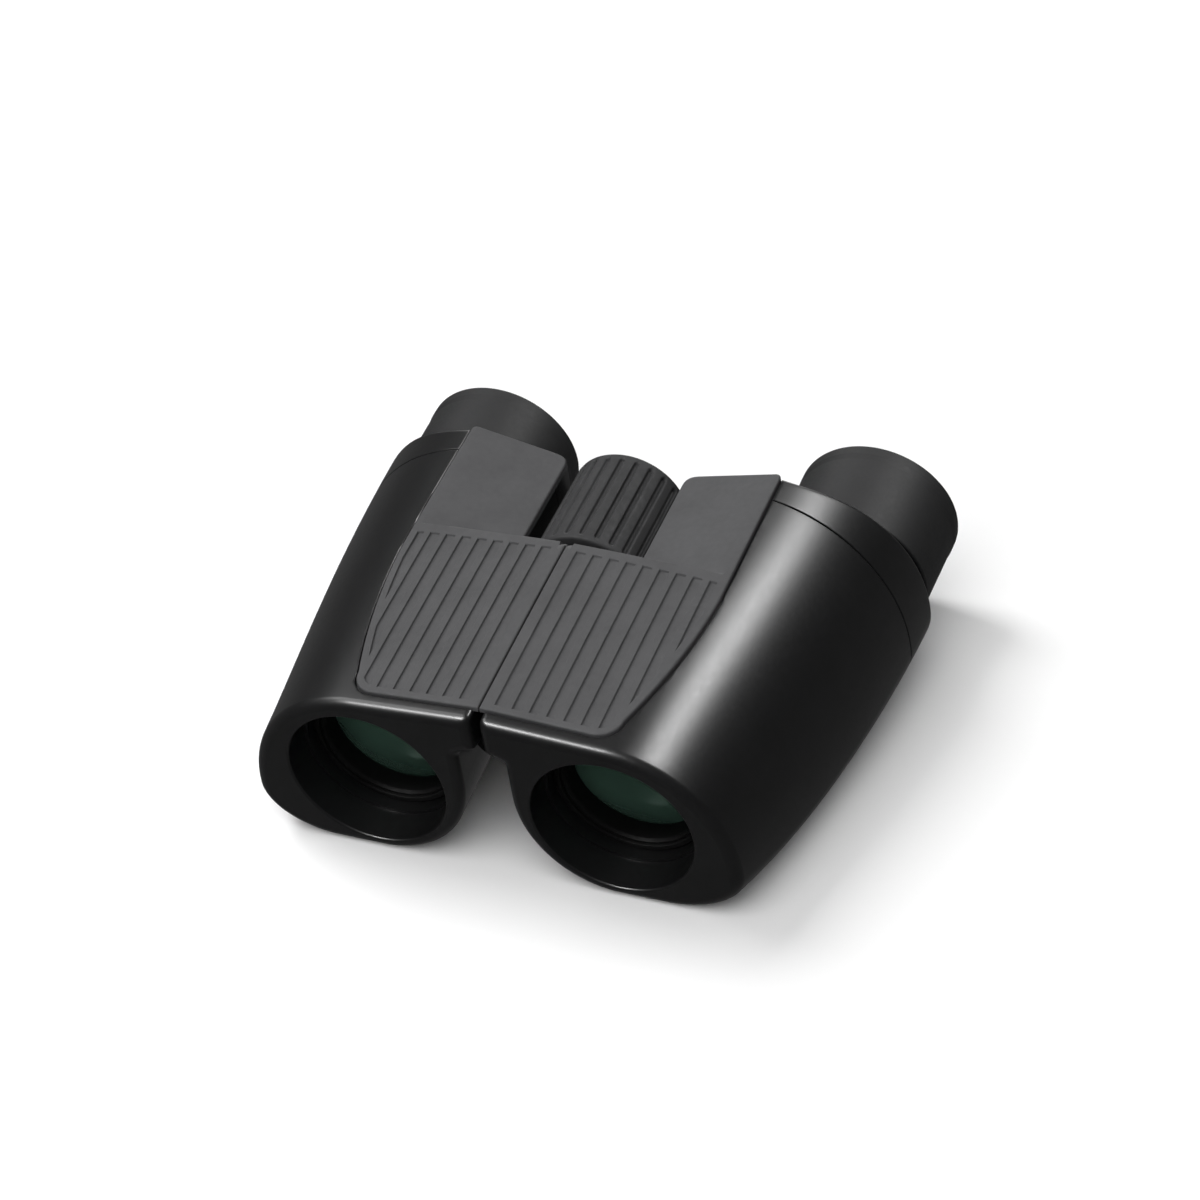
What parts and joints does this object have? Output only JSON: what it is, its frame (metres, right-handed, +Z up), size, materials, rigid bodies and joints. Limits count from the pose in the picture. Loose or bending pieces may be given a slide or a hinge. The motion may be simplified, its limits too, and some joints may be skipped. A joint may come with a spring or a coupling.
{
  "type": "binoculars",
  "caption": "Compact reverse-Porro binoculars: two barrels on a central hinge, knurled focus wheel, sliding objectives, diopter ring, rubber eyecups and ribbed grip panels.",
  "frame": {"origin": "middle of the bounding box, on the plane of the flat feet under the barrels", "axes": "+X towards the half that folds, +Y from the objectives to the eyepieces, +Z up; the optical axes and the hinge rise 7.2 degrees towards +Y, because the barrels' flat feet lie on Z = 0"},
  "size_m": [0.1006, 0.0948, 0.0415],
  "materials": {
    "body_paint": "satin black paint",
    "grip_rubber": "matte dark grey",
    "eyecup_rubber": "matte black",
    "wheel_rubber": "matte black, ribbed",
    "black_alloy": "black anodised",
    "black_moulding": "matte black",
    "green_coated_glass": "green anti-reflection coating",
    "coated_glass": "blue-violet anti-reflection coating",
    "prism_glass": "polished",
    "steel": "ground",
    "black_screws": "black oxide",
    "brass": "turned",
    "washer_plastic": "natural"
  },
  "bodies": {
    "left_half": {"left_barrel_shell": "body_paint", "left_rear_cover": "body_paint", "left_grip_panel": "grip_rubber", "left_prism_plate": "black_alloy", "left_rear_prism": "prism_glass", "left_front_prism": "prism_glass", "left_rear_prism_clip": "steel", "left_front_prism_clip": "steel", "left_cover_screws": "black_screws", "hinge_front_pin": "steel", "hinge_front_cap": "black_moulding", "hinge_rear_tube": "steel", "hinge_washers": "washer_plastic", "thrust_washer": "washer_plastic"},
    "right_half": {"right_barrel_shell": "body_paint", "right_rear_cover": "body_paint", "right_grip_panel": "grip_rubber", "right_prism_plate": "black_alloy", "right_rear_prism": "prism_glass", "right_front_prism": "prism_glass", "right_rear_prism_clip": "steel", "right_front_prism_clip": "steel", "right_cover_screws": "black_screws", "right_eyepiece_collar": "black_moulding", "right_eyepiece_tube": "black_moulding", "right_eye_lens": "coated_glass", "right_field_stop": "black_moulding", "right_field_lens": "coated_glass", "right_eyecup": "eyecup_rubber"},
    "focus_wheel": {"focus_wheel_core": "black_alloy", "focus_wheel_sleeve": "wheel_rubber", "focus_wheel_cap": "black_moulding", "focus_wheel_screw": "steel", "focus_screw": "brass"},
    "left_objective": {"left_objective_cell": "black_moulding", "left_objective_lens": "green_coated_glass", "left_objective_ring": "black_moulding", "left_light_baffle": "black_moulding", "left_focus_arm": "black_alloy", "focus_nut": "brass"},
    "right_objective": {"right_objective_cell": "black_moulding", "right_objective_lens": "green_coated_glass", "right_objective_ring": "black_moulding", "right_light_baffle": "black_moulding", "right_focus_arm": "black_alloy"},
    "diopter_ring": {"diopter_ring": "black_moulding"},
    "left_eyepiece": {"left_eyepiece_tube": "black_moulding", "left_eye_lens": "coated_glass", "left_field_stop": "black_moulding", "left_field_lens": "coated_glass", "left_eyecup": "eyecup_rubber"}
  },
  "joints": [
    {"name": "fold", "type": "hinge", "parent": "left_half", "child": "right_half", "pos_m": [0, -0.00172, 0.02759], "axis": [0, 0.9921, 0.1253], "range_deg": [0, 39]},
    {"name": "focus_turn", "type": "hinge", "parent": "left_half", "child": "focus_wheel", "pos_m": [0, 0.00954, 0.02901], "axis": [0, 0.9921, 0.1253], "range_deg": [-181, 271]},
    {"name": "left_focus", "type": "slide", "parent": "left_half", "child": "left_objective", "axis": [0, 0.9921, 0.1253], "range_m": [-0.0018, 0.0012]},
    {"name": "right_focus", "type": "slide", "parent": "right_half", "child": "right_objective", "axis": [0, 0.9921, 0.1253], "range_m": [-0.00185, 0.00125]},
    {"name": "diopter_turn", "type": "hinge", "parent": "left_half", "child": "diopter_ring", "pos_m": [-0.03512, 0.02241, 0.0153], "axis": [0, 0.9921, 0.1253], "range_deg": [-60.5, 60.5]},
    {"name": "left_diopter_slide", "type": "slide", "parent": "left_half", "child": "left_eyepiece", "axis": [0, 0.9921, 0.1253], "range_m": [-0.00075, 0.00075]}
  ],
  "couplings": [
    {"joint": "focus_turn", "follows": "left_focus", "rad_per_m": -2618},
    {"joint": "right_focus", "follows": "left_focus", "ratio": 1},
    {"joint": "diopter_turn", "follows": "left_diopter_slide", "rad_per_m": 1396.3}
  ]
}
